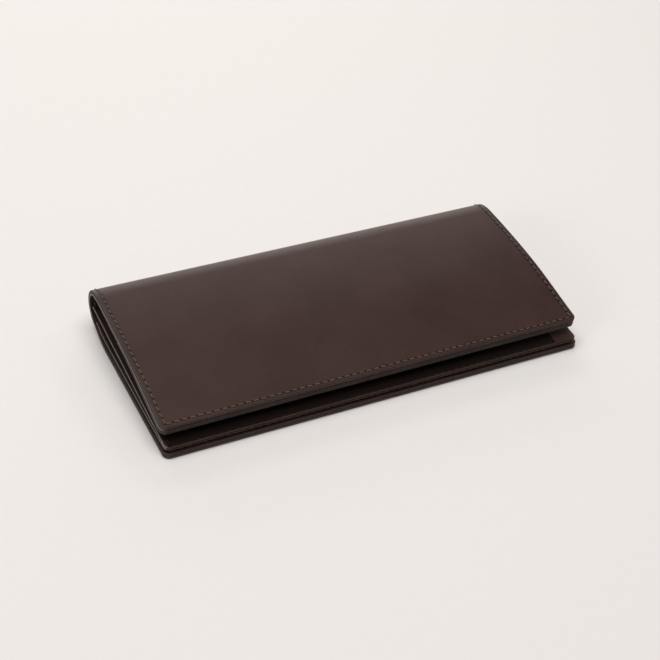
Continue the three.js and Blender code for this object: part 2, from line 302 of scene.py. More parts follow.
def end_places(radius, bevel):
    """Distances from an end where a row is needed for the bevel and the plan corner."""
    turn = np.linspace(0, math.pi / 2, 5)
    places = list(bevel * (1 - np.cos(turn))) + [bevel + 0.15]
    if radius:
        places += list(radius * (1 - np.cos(np.linspace(0, math.pi / 2, 10))))
    return places


def sheet_grid(x0, x1, s0, s1, d0, d1, bevel, corners=(0, 0, 0, 0), step=4.0, fine=()):
    """Closed cross-sections of a sheet, one row per place along s, as (x, s, depth).

    corners are plan radii at (x0, s0), (x1, s0), (x1, s1), (x0, s1). Returns the grid and the
    number of columns on its flat top, which is the same on its flat bottom.
    """
    r00, r10, r11, r01 = corners
    fine = list(fine)
    fine += [s0 + p for p in end_places(max(r00, r10), bevel)]
    fine += [s1 - p for p in end_places(max(r01, r11), bevel)]
    places = spread(s0, s1, step, fine)
    near = [0, 0.15, 1.0, 2.2, 3.0, 3.8]  # columns closer together by the cut sides
    inner = x1 - x0 - 2 * bevel
    across = spread(0, inner, 4.0, near + [inner - n for n in near]) / inner
    turn = np.linspace(0, math.pi / 2, 5)[1:-1]
    rows = []
    for s in places:
        to_start, to_end = s - s0, s1 - s
        left = x0 + max(corner_inset(r00, to_start), corner_inset(r01, to_end))
        right = x1 - max(corner_inset(r10, to_start), corner_inset(r11, to_end))
        end = min(to_start, to_end, bevel)
        sunk = bevel - math.sqrt(max(bevel**2 - (bevel - end) ** 2, 0))
        top, bottom, deep = d0 + sunk, d1 - sunk, bevel - sunk
        a, b = left + bevel, right - bevel
        row = [(a + (b - a) * u, s, top) for u in across]
        row += [(b + bevel * math.sin(t), s, top + deep * (1 - math.cos(t))) for t in turn]
        row += [(right, s, top + deep), (right, s, bottom - deep)]
        row += [(b + bevel * math.cos(t), s, bottom - deep * (1 - math.sin(t))) for t in turn]
        row += [(a + (b - a) * u, s, bottom) for u in across[::-1]]
        row += [(a - bevel * math.sin(t), s, bottom - deep * (1 - math.cos(t))) for t in turn]
        row += [(left, s, bottom - deep), (left, s, top + deep)]
        row += [(a - bevel * math.cos(t), s, top + deep * (1 - math.sin(t))) for t in turn]
        rows.append(row)
    return np.array(rows), len(across)


def grid_normals(points):
    """Normals of the whole sheet, so that a stretch of it shades on into the next."""
    along = np.gradient(points, axis=0)
    round_it = np.roll(points, -1, axis=1) - np.roll(points, 1, axis=1)
    n = np.cross(along, round_it)
    return n / np.maximum(np.linalg.norm(n, axis=-1, keepdims=True), 1e-12)


def grid_object(name, grid, faces_across, path, materials, rows=None, caps=(True, True)):
    """A mesh from a sheet grid. rows picks a stretch of it, whose cut ends stay open."""
    points = path.lay(grid)
    normals = grid_normals(points)
    first, last = rows or (0, len(grid) - 1)
    grid, points, normals = (v[first : last + 1] for v in (grid, points, normals))
    count, ring = points.shape[:2]
    side = ring // 2 - faces_across
    flat = set(range(faces_across - 1)) | set(range(ring // 2, ring // 2 + faces_across - 1))
    faces = ring_quads(count, ring)
    where = []
    for i in range(count - 1):
        at_cut_end = (i == 0 and caps[0]) or (i == count - 2 and caps[1])
        where += [0 if j in flat and not at_cut_end else 1 for j in range(ring)]
    if caps[0]:
        faces += cap_faces(0, ring, faces_across)
    if caps[1]:
        faces += [face[::-1] for face in cap_faces((count - 1) * ring, ring, faces_across)]
    where += [1] * (len(faces) - len(where))
    uvs = flat_uvs(grid, faces_across, side)
    normals = None if rows is None else normals.reshape(-1, 3)
    return make_mesh(name, points.reshape(-1, 3), faces, uvs, materials, where, normals)


def cap_faces(start, ring, across):
    """Faces that close one cross-section."""
    faces = []
    bottom_last = ring // 2 + across - 1
    for j in range(across - 1):
        faces.append((start + j, start + j + 1, start + bottom_last - j - 1, start + bottom_last - j))
    faces.append(tuple(start + j for j in range(across - 1, ring // 2 + 1)))
    faces.append(tuple(start + j % ring for j in range(bottom_last, ring + 1)))
    return faces


def flat_uvs(grid, across, side):
    """The flat pattern in metres; the cut sides carry on outwards by their depth."""
    u = grid[..., 0].copy()
    depth = grid[..., 2] - grid[..., 2].min()
    half = grid.shape[1] // 2
    u[:, across : across + side] += depth[:, across : across + side]
    u[:, half + across :] -= depth[:, half + across :]
    return np.stack([u, grid[..., 1]], -1).reshape(-1, 2) * MM


def section_faces(rows, half):
    """Faces of rows of closed sections, each half vertices of one skin, then the other's back."""
    ring = 2 * half
    faces = ring_quads(rows, ring)
    caps = [(k, k + 1, ring - 2 - k, ring - 1 - k) for k in range(half - 1)]
    last = (rows - 1) * ring
    return faces + caps + [tuple(last + k for k in cap[::-1]) for cap in caps]


def outward_faces(obj):
    bpy.context.view_layer.objects.active = obj
    obj.select_set(True)
    bpy.ops.object.mode_set(mode="EDIT")
    bpy.ops.mesh.select_all(action="SELECT")
    bpy.ops.mesh.normals_make_consistent(inside=False)
    bpy.ops.object.mode_set(mode="OBJECT")
    obj.select_set(False)


# -------- node materials

EDGE_FADE = 6.0
LEATHER_SPECULAR = 0.22
WARM_SHEEN = (1.0, 0.78, 0.68, 1)


def rgb(r, g, b):
    """An sRGB colour of 0 to 255 as a linear colour."""

    def one(v):
        v /= 255
        return v / 12.92 if v <= 0.04045 else ((v + 0.055) / 1.055) ** 2.4

    return (one(r), one(g), one(b), 1.0)


FLOOR_COLOR = rgb(239, 235, 232)


class Nodes:
    """Short ways to add shader nodes to one material."""

    def __init__(self, name):
        self.material = bpy.data.materials.new(name)
        self.material.use_nodes = True
        self.tree = self.material.node_tree
        self.shader = self.tree.nodes["Principled BSDF"]
        place = self.tree.nodes.new("ShaderNodeUVMap")
        place.uv_map = "flat"
        self.uv = place.outputs["UV"]

    def node(self, kind, **inputs):
        made = self.tree.nodes.new(kind)
        for key, value in inputs.items():
            self.feed(made.inputs[key.replace("_", " ")], value)
        return made

    def feed(self, socket, value):
        if isinstance(value, bpy.types.NodeSocket):
            self.tree.links.new(value, socket)
        else:
            socket.default_value = value

    def math(self, operation, a, b=0.0):
        made = self.tree.nodes.new("ShaderNodeMath")
        made.operation = operation
        self.feed(made.inputs[0], a)
        self.feed(made.inputs[1], b)
        return made.outputs[0]

    def plus(self, a, b):
        return self.math("ADD", a, b)

    def minus(self, a, b):
        return self.math("SUBTRACT", a, b)

    def times(self, a, b):
        return self.math("MULTIPLY", a, b)

    def size(self, a):
        return self.math("ABSOLUTE", a)

    def noise(self, scale, detail=3.0, roughness=0.5):
        inputs = {"Vector": self.uv, "Scale": scale, "Detail": detail, "Roughness": roughness}
        return self.node("ShaderNodeTexNoise", **inputs).outputs["Fac"]

    def cells(self, scale):
        """Distance to the nearest border between cells."""
        made = self.node("ShaderNodeTexVoronoi", Vector=self.uv, Scale=scale)
        made.feature = "DISTANCE_TO_EDGE"
        return made.outputs["Distance"]

    def span(self, value, low, high, to_low=0.0, to_high=1.0):
        """Goes smoothly from to_low to to_high while value goes from low to high."""
        limits = {"From_Min": low, "From_Max": high, "To_Min": to_low, "To_Max": to_high}
        made = self.node("ShaderNodeMapRange", Value=value, **limits)
        made.interpolation_type = "SMOOTHSTEP"
        return made.outputs["Result"]

    def mix(self, factor, a, b):
        made = self.tree.nodes.new("ShaderNodeMix")
        made.data_type = "RGBA"
        self.feed(made.inputs["Factor"], factor)
        self.feed(made.inputs[6], a)
        self.feed(made.inputs[7], b)
        return made.outputs[2]

    def shades(self, value, dark, light, low=0.3, high=0.7):
        """One colour where value is low, going over to the other where it is high."""
        return self.mix(self.span(value, low, high), dark, light)

    def patches(self, value, share, color, other):
        """Patches of another colour where value is high, laid on at this share."""
        return self.mix(self.times(self.span(value, 0.35, 0.7), share), color, other)

    def xy(self):
        """The flat pattern's x and s, in metres."""
        apart = self.node("ShaderNodeSeparateXYZ")
        self.tree.links.new(self.uv, apart.inputs[0])
        return apart.outputs["X"], apart.outputs["Y"]

    def bump(self, height, distance, strength=1.0, under=None):
        made = self.node("ShaderNodeBump", Height=height, Distance=distance, Strength=strength)
        if under is not None:
            self.tree.links.new(under, made.inputs["Normal"])
        return made.outputs["Normal"]

    def finish(self, color, roughness, normal, **others):
        inputs = {"Base_Color": color, "Roughness": roughness, "Normal": normal, **others}
        for key, value in inputs.items():
            self.feed(self.shader.inputs[key.replace("_", " ")], value)
        return self.material

    def finish_leather(self, color, roughness, normal):
        sheen = {"Specular_IOR_Level": LEATHER_SPECULAR, "Specular_Tint": WARM_SHEEN}
        return self.finish(color, roughness, normal, **sheen)


def seam_pitch(length):
    """The pitch that divides this length into whole stitches."""
    return length / round(length / STITCH_PITCH)


def seam_marks(n, length):
    """Needle holes and the pulled-in seam of the stitch rows round a cover, 0 to 1 each; they dent the
    leather and carry its painted shade.
    """
    x, s = n.xy()
    seam_x = HALF - STITCH_INSET
    inset = END_INSET * MM
    past = 0.4  # the marks reach this far outside the seam
    side = n.size(n.minus(n.size(x), seam_x * MM))
    front = n.size(n.minus(s, inset))
    rear = n.size(n.minus(s, length * MM - inset))
    end = n.math("MINIMUM", front, rear)
    side_pitch = seam_pitch(length - 2 * END_INSET) * MM
    end_pitch = seam_pitch(2 * seam_x) * MM
    from_side = along_hole(n, n.minus(s, inset), side_pitch)
    from_end = along_hole(n, n.plus(x, seam_x * MM), end_pitch)
    side_hole = n.plus(n.times(side, side), n.times(from_side, from_side))
    end_hole = n.plus(n.times(end, end), n.times(from_end, from_end))
    near = n.math("SQRT", n.math("MINIMUM", side_hole, end_hole))
    within_x = n.math("LESS_THAN", n.size(x), (seam_x + past) * MM)
    from_middle = n.size(n.minus(s, length / 2 * MM))
    within_s = n.math("LESS_THAN", from_middle, (length / 2 - END_INSET + past) * MM)
    both = n.times(within_x, within_s)
    hole = n.times(n.span(near, 0.0004, 0.0008, 1.0, 0.0), both)
    line = n.times(n.span(n.math("MINIMUM", side, end), 0.0001, 0.0011, 1.0, 0.0), both)
    return hole, line


def along_hole(n, along, pitch):
    """Distance along a stitch row to the nearest needle hole."""
    share = n.math("FRACT", n.plus(n.math("DIVIDE", along, pitch), 0.5))
    return n.times(n.size(n.minus(share, 0.5)), pitch)


def hide(n, scales, colors, gloss, swell, grain_strength):
    """Colour, roughness and normal of leather with clouds, patches, pores and wrinkles.

    colors are dark, light and patches; gloss is the roughness low, high and added by patches;
    swell is the clouds' relief, its distance and strength.
    """
    cloud = n.noise(scales[0], 4.0, 0.55)
    fine = n.noise(scales[1], 4.0, 0.6)
    pores = n.span(n.cells(scales[2]), 0.0, 0.09)
    wrinkles = n.noise(scales[3], 5.0, 0.65)
    base = n.patches(fine, 0.35, n.shades(cloud, *colors[:2]), colors[2])
    rough = n.plus(n.span(cloud, 0.25, 0.75, *gloss[:2]), n.times(fine, gloss[2]))
    grain = n.plus(n.times(pores, 0.5), wrinkles)
    return base, rough, n.bump(grain, 0.00006, grain_strength, n.bump(cloud, *swell))


def shell_leather():
    """Smooth, waxed, semi-gloss leather with a very fine grain."""
    n = Nodes("shell_leather")
    hole, line = seam_marks(n, WALLET.length)
    colors = (rgb(52, 35, 31), rgb(59, 41, 36), rgb(48, 32, 28))
    scales = (38.0, 420.0, 1500.0, 1100.0)
    base, rough, normal = hide(n, scales, colors, (0.32, 0.38, 0.06), (0.0006, 0.12), 0.45)
    # painted shade: the pulled-in seam a little darker and the needle holes near black, as shade falls
    # into them
    base = n.mix(n.times(line, 0.25), base, rgb(46, 31, 28))
    base = n.mix(hole, base, rgb(14, 9, 8))
    dents = n.plus(n.times(line, 0.4), hole)
    normal = n.bump(n.minus(1.0, dents), 0.0003, 0.9, normal)
    return n.finish_leather(base, rough, normal)


def inner_leather(name, dark, light):
    """The same hide inside the wallet, less worn and more matt."""
    n = Nodes(name)
    scales = (60.0, 500.0, 1400.0, 1200.0)
    looks = hide(n, scales, (dark, light, dark), (0.42, 0.5, 0.08), (0.0004, 0.15), 0.5)
    return n.finish_leather(*looks)


def framed_leather():
    """A suede field in a leather frame, on the coin pocket leaf.

    The suede is painted near black along the front, as painted shade of the gap under the upper cover,
    and is browner behind.
    """
    n = Nodes("framed_leather")
    x, s = n.xy()
    front, left, right = SUEDE_FRAME
    in_x = within(n, x, left - BLOCK_HALF, BLOCK_HALF - right)
    field = n.times(in_x, within(n, s, front, ZIP_V - SUEDE_END))
    cloud = n.noise(60.0, 4.0, 0.55)
    nap = n.noise(1700.0, 5.0, 0.75)
    brushed = n.noise(45.0, 3.0, 0.6)
    border = n.shades(cloud, rgb(54, 38, 34), rgb(64, 46, 42))
    # painted shade: near-black suede where the gap under the upper cover lies in shade
    suede = n.shades(nap, rgb(15, 9, 8), rgb(22, 14, 12))
    brown_suede = n.shades(nap, rgb(31, 22, 19), rgb(49, 36, 32))
    brown_suede = n.patches(brushed, 0.5, brown_suede, rgb(56, 42, 37))
    # the painted shade gives way to the browner suede from 13 to 26 mm behind the front, along a wavy
    # border
    shade_reach = n.plus(s, n.times(brushed, 0.012))
    suede = n.mix(n.span(shade_reach, 0.013, 0.026), suede, brown_suede)
    rough = n.plus(n.times(field, 0.42), 0.46)
    normal = n.bump(nap, 0.00008, 0.5)
    normal = n.bump(n.minus(1.0, field), 0.0003, 0.8, normal)
    return n.finish_leather(n.mix(field, border, suede), rough, normal)


def within(n, value, low, high, soft=0.2):
    """1 between low and high, with a soft border outside them."""
    rising = n.span(value, (low - soft) * MM, low * MM)
    return n.times(rising, n.span(value, high * MM, (high + soft) * MM, 1, 0))


def edge_paint():
    """Painted cut edge with the fibres just showing; at the wallet's sides it is painted darker, as
    painted shade.
    """
    n = Nodes("edge_paint")
    # painted shade: the cut edges at the wallet's sides are darker than those at the front
    side_shade = n.span(n.size(n.xy()[0]), (HALF - 0.1) * MM, (HALF + 0.1) * MM)
    streak = n.noise(900.0, 4.0, 0.6)
    cloud = n.noise(70.0, 3.0)
    base = n.shades(streak, rgb(46, 38, 36), rgb(72, 61, 58), high=0.75)
    base = n.patches(cloud, 0.4, base, rgb(86, 73, 70))
    shaded_side_base = n.shades(streak, rgb(26, 20, 18), rgb(45, 37, 34), high=0.75)
    base = n.mix(side_shade, base, shaded_side_base)
    normal = n.bump(streak, 0.00012, 0.5)
    gloss = n.span(cloud, 0.3, 0.7, 0.42, 0.56)
    return n.finish(base, gloss, normal, Specular_IOR_Level=0.32)


def inner_edge(name, highlight_from):
    """Waxed edge of the inner leather, painted paler at the sides as a painted highlight, past a given
    place along s.
    """
    n = Nodes(name)
    x, s = n.xy()
    streak = n.noise(900.0, 4.0, 0.6)
    # painted highlight: the side edges are painted pale, as if lit from the side
    side_highlight = n.span(n.size(x), (BLOCK_HALF - 0.5) * MM, (BLOCK_HALF - 0.1) * MM)
    side_highlight = n.times(side_highlight, n.span(s, highlight_from * MM, (highlight_from + EDGE_FADE) * MM))
    base = n.shades(streak, rgb(40, 31, 29), rgb(70, 58, 54), high=0.75)
    pale = n.shades(streak, rgb(122, 110, 105), rgb(158, 146, 140), high=0.75)
    normal = n.bump(streak, 0.00012, 0.6)
    return n.finish(n.mix(side_highlight, base, pale), 0.42, normal, Specular_IOR_Level=0.35)


def lining_leather():
    """Thin, matt lining leather."""
    n = Nodes("lining_leather")
    cloud = n.noise(50.0, 4.0, 0.5)
    fibre = n.noise(1500.0, 5.0, 0.7)
    base = n.shades(cloud, rgb(50, 37, 34), rgb(60, 45, 41))
    base = n.mix(n.times(fibre, 0.3), base, rgb(42, 30, 28))
    normal = n.bump(fibre, 0.00008, 0.6, n.bump(cloud, 0.0004, 0.15))
    gloss = n.span(fibre, 0.3, 0.7, 0.52, 0.64)
    return n.finish_leather(base, gloss, normal)


def woven(name, warp_color, weft_color, pitch, slope, herring=0.0):
    """Cloth woven on the diagonal; herring is the width of a herringbone's stripes, or 0."""
    n = Nodes(name)
    x, s = n.xy()
    if herring:
        share = n.math("FRACT", n.math("DIVIDE", s, herring * MM))
        s = n.times(n.size(n.minus(share, 0.5)), herring * MM)
    wander = n.times(n.noise(300.0, 2.0), 0.00008)
    diagonal = n.plus(n.plus(x, n.times(s, slope)), wander)
    rib = n.math("SINE", n.times(diagonal, 2 * math.pi / (pitch * MM)))
    yarn = n.math("SINE", n.times(x, 2 * math.pi / (pitch * 0.5 * MM)))
    height = n.plus(rib, n.times(yarn, 0.35))
    fuzz = n.noise(2600.0, 4.0, 0.7)
    base = n.mix(n.span(height, -1.0, 1.2), warp_color, weft_color)
    base = n.mix(n.times(fuzz, 0.3), base, warp_color)
    normal = n.bump(n.plus(height, fuzz), 0.00009, 0.8)
    rough = n.span(fuzz, 0.3, 0.7, 0.72, 0.86)
    return n.finish(base, rough, normal, Sheen_Weight=0.2, Sheen_Roughness=0.5)


def thread_fibre(name, dark, middle, light):
    """Waxed three-ply polyester thread. Its map runs along the thread, then round it."""
    n = Nodes(name)
    x, s = n.xy()
    twist = n.plus(n.times(x, 2 * math.pi / 0.0008), n.times(s, 6.0))
    ply = n.math("SINE", twist)
    shade = n.noise(180.0, 3.0)
    base = n.mix(n.span(ply, -1.0, 0.8), dark, light)
    base = n.mix(n.times(shade, 0.35), base, middle)
    normal = n.bump(ply, 0.00005, 0.8)
    return n.finish(base, n.span(shade, 0.3, 0.7, 0.45, 0.6), normal, Sheen_Weight=0.1)


def metal(name, bright, dark, rough):
    """Antiqued brass, brighter and darker in soft clouds."""
    n = Nodes(name)
    cloud = n.noise(260.0, 5.0, 0.6)
    scratches = n.noise(2200.0, 3.0, 0.6)
    base = n.mix(n.span(cloud, 0.35, 0.65), dark, bright)
    gloss = n.plus(n.span(cloud, 0.3, 0.7, rough + 0.12, rough), n.times(scratches, 0.06))
    normal = n.bump(scratches, 0.00002, 0.3, n.bump(cloud, 0.00006, 0.3))
    return n.finish(base, gloss, normal, Metallic=1.0)


def floor_paper():
    """Plain pale paper with the faintest tooth. It glows a little where no light reaches."""
    n = Nodes("floor_paper")
    x, y = n.xy()
    away = n.math("SQRT", n.plus(n.times(x, x), n.times(y, y)))
    glow = n.span(away, 0.45, 1.3, 0.0, 0.4)
    unlit = n.times(n.span(x, -0.8, -0.3), n.span(y, 0.2, 0.7, 1.0, 0.0))
    glow = n.times(glow, unlit)
    tooth = n.noise(220.0, 3.0)
    low_tooth = (*(v * 0.992 for v in FLOOR_COLOR[:3]), 1)
    base = n.shades(tooth, FLOOR_COLOR, low_tooth)
    emission = {"Emission_Color": FLOOR_COLOR, "Emission_Strength": glow}
    return n.finish(base, 0.85, n.bump(tooth, 0.0001, 0.1), Specular_IOR_Level=0.1, **emission)


LEATHER = shell_leather()
INNER = inner_leather("inner_leather", rgb(51, 36, 32), rgb(62, 45, 41))
GUSSET = inner_leather("gusset_leather", rgb(25, 18, 16), rgb(33, 24, 21))
EDGE = edge_paint()
FRAMED = framed_leather()
# The pale sides of these two edges are a painted highlight.
INNER_EDGE = inner_edge("inner_edge", -EDGE_FADE)  # pale along its whole length
LINING_EDGE = inner_edge("lining_edge", ARC_S)  # pale from where the spine's arc starts
LINING = lining_leather()
BAG_CLOTH = woven("bag_cloth", rgb(44, 34, 32), rgb(66, 52, 49), 0.45, 1.0)
TAPE_CLOTH = woven("tape_cloth", rgb(34, 25, 23), rgb(58, 44, 41), 0.5, 1.4, herring=4.0)
THREAD = thread_fibre("thread", rgb(84, 58, 54), rgb(100, 72, 68), rgb(126, 96, 92))
# painted shade: a darker copy of the thread, for the seams on the coin pocket leaf that lie in shade
FINE_SHADED_THREAD = thread_fibre("fine_shaded_thread", rgb(50, 35, 32), rgb(62, 44, 40), rgb(84, 62, 57))
BRASS = metal("antique_brass", rgb(146, 127, 98), rgb(112, 95, 72), 0.3)
TEETH_BRASS = metal("teeth_brass", rgb(150, 130, 100), rgb(104, 87, 65), 0.26)


# -------- the folding shell


def fold_bodies():
    """The bodies along the spine, lower half first, as the joints chain them."""
    chain = ["lower_half"]
    while chain[-1] != "upper_half":
        here = chain[-1]
        chain.append(next(j["child"] for j in frame["joints"]
                          if j["parent"] == here and j["name"].startswith("spine_fold")))
    return chain


BODIES = fold_bodies()


def attach(obj, stretch, depth):
    """Stretch 0 rides on the lower half, the last on the upper half; the others are baked in place and
    ride on no body.
    """
    if stretch == 0:
        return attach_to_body(obj, BODIES[0])
    if stretch == len(CUTS):
        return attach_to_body(obj, BODIES[-1])
    start, end = CUTS[stretch - 1], CUTS[stretch]
    margin = 0.06 * (end - start)
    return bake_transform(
        obj,
        BODIES[stretch - 1],
        BODIES[stretch],
        WALLET.point(start + margin, depth),
        WALLET.point(end - margin, depth),
    )


def stretch_word(stretch):
    """The covers' stretches are lower and upper; those that bend are counted between them."""
    return {0: "lower", len(CUTS): "upper"}.get(stretch, f"fold_{stretch}")


def folding_sheet(stem, d0, d1, bevel, materials, kinds):
    """A sheet of the whole wallet, parted at the cuts. kinds are its nodes' words, flat and bent."""
    fine = list(np.arange(CUTS[0], CUTS[-1], 0.4)) + CUTS
    radii = (CORNER_R,) * 4
    grid, across = sheet_grid(-HALF, HALF, 0, WALLET.length, d0, d1, bevel, radii, 3.0, fine)
    places = grid[:, 0, 1]
    limits = [0] + [int(np.argmin(abs(places - c))) for c in CUTS] + [len(places) - 1]
    for stretch in range(len(CUTS) + 1):
        rows = (limits[stretch], limits[stretch + 1])
        caps = (stretch == 0, stretch == len(CUTS))
        name = f"{stem}_{stretch_word(stretch)}"
        obj = grid_object(name, grid, across, WALLET, materials, rows, caps)
        attach(obj, stretch, (d0 + d1) / 2)
        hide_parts(*replaced_nodes(*kinds, stretch))


def replaced_nodes(flat, bent, stretch):
    """The nodes that a stretch stands in for; the last bent one has none of its own."""
    if stretch in (0, len(CUTS)):
        return [f"{stretch_word(stretch)}_{flat}"]
    return [f"spine_{bent}_{stretch}"] if stretch <= SPINE_STRIPS + 1 else []


# -------- stitches


class Stitches:
    """Collects stitches in one mesh."""

    def __init__(self, thread_r=THREAD_R, thread=THREAD):
        self.thread_r, self.thread = thread_r, thread
        self.verts, self.faces, self.uvs = [], [], []

    def add(self, path, x, s, along_s, pitch, depth, outward):
        """One stitch centred at (x, s). outward is +1 where out of the leather is +depth.

        Its ends get thinner and dive into the needle holes.
        """
        base = len(self.verts)
        slant = -outward * STITCH_SLANT
        reach = pitch * 0.36
        flat = []
        for i in range(STITCH_RINGS):
            t = 2 * i / (STITCH_RINGS - 1) - 1
            fat = self.thread_r * (1 - 0.45 * abs(t) ** 6)
            rise = 0.16 - 0.34 * abs(t) ** 5
            for k in range(STITCH_SIDES):
                turn = 2 * math.pi * k / STITCH_SIDES
                sideways = fat * math.cos(turn)
                up = rise + 0.85 * fat * math.sin(turn)
                a = t * reach * math.cos(slant) - sideways * math.sin(slant)
                c = t * reach * math.sin(slant) + sideways * math.cos(slant)
                dx, ds = (c, a) if along_s else (a, c)
                flat.append((x + dx, s + ds, depth + outward * up))
                self.uvs.append(((s + x + t * reach) * MM, k / STITCH_SIDES))
        self.verts += list(path.lay(np.array(flat)))
        quads = ring_quads(STITCH_RINGS, STITCH_SIDES, base, turned=True)
        mirrored = (outward < 0) == along_s
        self.faces += [quad[::-1] for quad in quads] if mirrored else quads

    def make(self, name):
        return make_mesh(name, self.verts, self.faces, self.uvs, [self.thread])


def row_places(start, end):
    """Middles of the stitches in a row from start to end, and their pitch."""
    pitch = seam_pitch(end - start)
    return [start + pitch * (i + 0.5) for i in range(round((end - start) / pitch))], pitch


def inside_depth(s):
    """Depth of the wallet's inner face where the seam goes through it."""
    from_fold = s - UPPER_S
    if s < FOLD_1_S:
        return POCKET_D + LOWER_SLIP_T if s < LOWER_SLIP_LENGTH else LINING_D + LINING_T
    rows = sum(from_fold > mouth for mouth in CARD_MOUTHS)
    if rows:
        return POCKET_D + rows * (POCKET_T + GAP) + POCKET_T
    return POCKET_D + POCKET_T if from_fold > SLIP_MOUTH else LINING_D + LINING_T


def shell_stitches():
    """The seam round both covers, seen from outside and from inside."""
    end_x = HALF - STITCH_INSET
    last = WALLET.length - END_INSET
    places, pitch = row_places(END_INSET, last)
    rows = [(side * end_x, s, True, pitch) for s in places for side in (-1, 1)]
    places, pitch = row_places(-end_x, end_x)
    rows += [(x, s, False, pitch) for x in places for s in (END_INSET, last)]
    for stretch in range(len(CUTS) + 1):
        low = CUTS[stretch - 1] if stretch else -1.0
        high = CUTS[stretch] if stretch < len(CUTS) else 1e9
        seam = Stitches()
        for x, s, along_s, step in rows:
            if low <= s < high:
                seam.add(WALLET, x, s, along_s, step, 0.0, -1)
                seam.add(WALLET, x, s, along_s, step, inside_depth(s), 1)
        obj = seam.make(f"seam_{stretch_word(stretch)}")
        attach(obj, stretch, 0.0)


# -------- inside the covers


def settle(obj, body, slot, *nodes):
    """Puts a piece on its body; nodes are those that it stands in for."""
    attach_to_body(obj, body)
    if nodes:
        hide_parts(*nodes)


def add_sheet(name, node, place, path, materials, x, s, d, bevel, **options):
    """A whole sheet, between its limits in x, s and depth. place is its body and a slot, which is not
    used.
    """
    grid, across = sheet_grid(*x, *s, *d, bevel, **options)
    settle(grid_object(name, grid, across, path, materials), *place, node)


IN_UPPER = ("upper_half", "inner_leather")
IN_LOWER = ("lower_half", "inner_leather")
IN_LEAF = ("coin_pocket_leaf", "inner_leather")


def upper_pockets():
    """The slip panel, then three rows of card pockets, each row above the one before."""
    end = WALLET.length
    add_sheet(
        "upper_slip", "upper_slip_panel", IN_UPPER, WALLET, [INNER, EDGE], (-HALF, HALF),
        (UPPER_S + SLIP_MOUTH, end), (POCKET_D, POCKET_D + POCKET_T), POCKET_BEVEL,
        corners=(0, 0, CORNER_R, CORNER_R), step=2.5,
    )
    for row, mouth in enumerate(CARD_MOUTHS, 1):
        depth = POCKET_D + row * (POCKET_T + GAP)
        for side, x in (("left", (-HALF, -COLUMN_HALF_GAP)), ("right", (COLUMN_HALF_GAP, HALF))):
            radii = (0, 0, 0, CORNER_R) if side == "left" else (0, 0, CORNER_R, 0)
            add_sheet(
                f"card_{side}_{row}", f"card_pocket_{side}_{row}", IN_UPPER, WALLET, [INNER, EDGE], x,
                (UPPER_S + mouth, end), (depth, depth + POCKET_T), POCKET_BEVEL, corners=radii, step=2.5,
            )


def lower_pockets():
    """The slip panel on the lower lining and the bill compartment's wall above it."""
    add_sheet(
        "lower_slip", "lower_slip_panel", IN_LOWER, WALLET, [INNER, EDGE], (-HALF, HALF),
        (0, LOWER_SLIP_LENGTH), (POCKET_D, POCKET_D + LOWER_SLIP_T), LOWER_SLIP_BEVEL,
        corners=(CORNER_R, CORNER_R, 0, 0),
    )
    add_sheet(
        "bill_wall", "bill_compartment_wall", IN_LOWER, BILL, [INNER, INNER_EDGE], BLOCK_X,
        (0, BILL.length), (0, BILL_WALL_T), BILL_WALL_BEVEL,
        corners=(LEAF_CORNER_R, LEAF_CORNER_R, 0, 0), step=2.0,
    )


# -------- gussets


def bill_top(y):
    return np.interp(y, BILL.y, BILL.z) + BILL_WALL_T


def leaf_under(y):
    return LEAF_Z + (y - LEAF_Y) * math.tan(LEAF_TILT)


def flap_section(y, side, lower):
    """One cross-section of a gusset's flap: its outer skin inwards, then its inner skin back."""
    bottom, top = bill_top(y) + GAP, leaf_under(y) - GAP
    rise_to = (top - bottom) / 2
    verts, uvs = [], []
    for skin, shares in ((0, GUSSET_ACROSS), (1, GUSSET_ACROSS[::-1])):
        for t in shares:
            x = GUSSET_OUTER - (GUSSET_OUTER - GUSSET_FOLD) * t
            bent = rise_to * (0.35 * t + 0.65 * t**2)
            rise = min(bent, rise_to - GUSSET_T - 0.02) + GUSSET_T * skin
            z = bottom + rise if lower else top - rise
            verts.append((side * x * MM, y * MM, z * MM))
            uvs.append((x * MM, y * MM))
    return verts, uvs


def gusset_flap(side, which):
    """Half of a gusset that folds inwards, with a softly rounded fold line."""
    lengths = np.linspace(*GUSSET_Y, 39)
    half = len(GUSSET_ACROSS)
    verts, uvs = [], []
    for y in lengths:
        section = flap_section(y, side, which == "lower")
        verts += section[0]
        uvs += section[1]
    faces = section_faces(len(lengths), half)
    closing = 2 * (half - 1)
    where = [0] * (len(faces) - closing) + [1] * closing
    name = "left" if side < 0 else "right"
    obj = make_mesh(f"gusset_{name}_{which}_flap", verts, faces, uvs, [GUSSET, INNER_EDGE], where)
    outward_faces(obj)
    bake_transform(obj)
    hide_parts(f"gusset_{name}_{which}")


# -------- coin pocket leaf


